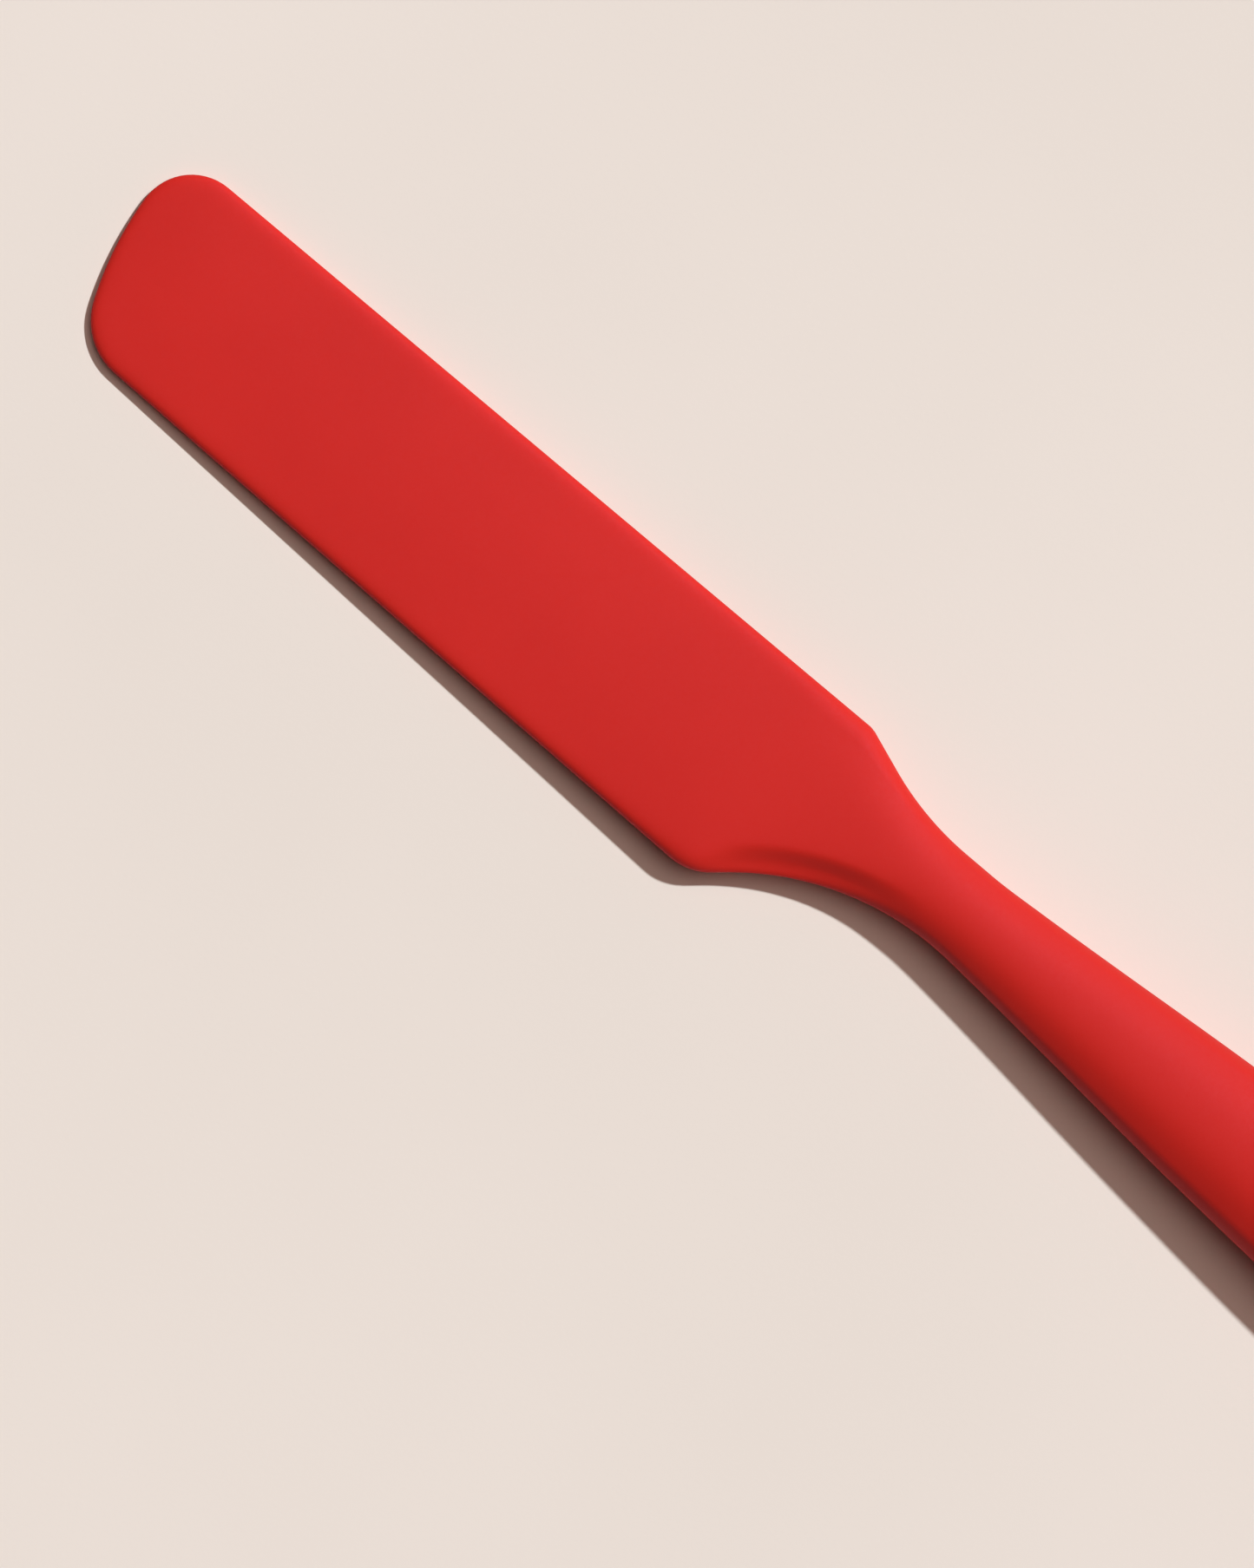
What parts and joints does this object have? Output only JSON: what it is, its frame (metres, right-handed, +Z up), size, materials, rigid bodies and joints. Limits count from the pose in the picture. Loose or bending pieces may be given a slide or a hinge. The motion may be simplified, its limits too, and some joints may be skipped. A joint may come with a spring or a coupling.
{
  "type": "silicone spatula",
  "caption": "Slim one-piece silicone spatula with a long narrow slanted-tip blade on a spring strip, an oval tapered handle and a hanging hole.",
  "frame": {"origin": "centre of the bounding box's bottom, on the surface that the spatula lies on", "axes": "+X along the spatula towards the blade's tip, +Y across it towards the blade's wide side, +Z up from the table"},
  "size_m": [0.2812, 0.0284, 0.015],
  "materials": {
    "silicone": "matt moulded silicone",
    "former_nylon": "moulded glass-filled nylon",
    "strip_steel": "rolled stainless spring strip"
  },
  "bodies": {
    "handle": {"silicone_grip": "silicone", "handle_former": "former_nylon", "spring_strip": "strip_steel"},
    "blade": {"silicone_blade": "silicone"}
  },
  "joints": [
    {"name": "blade_flex", "type": "hinge", "parent": "handle", "child": "blade", "pos_m": [0.04475, -0.00386, 0.00358], "axis": [0, 1, 0], "range_deg": [-30, 30], "stiffness_Nm_per_rad": 1.2, "deforming": ["spring_strip"]}
  ]
}
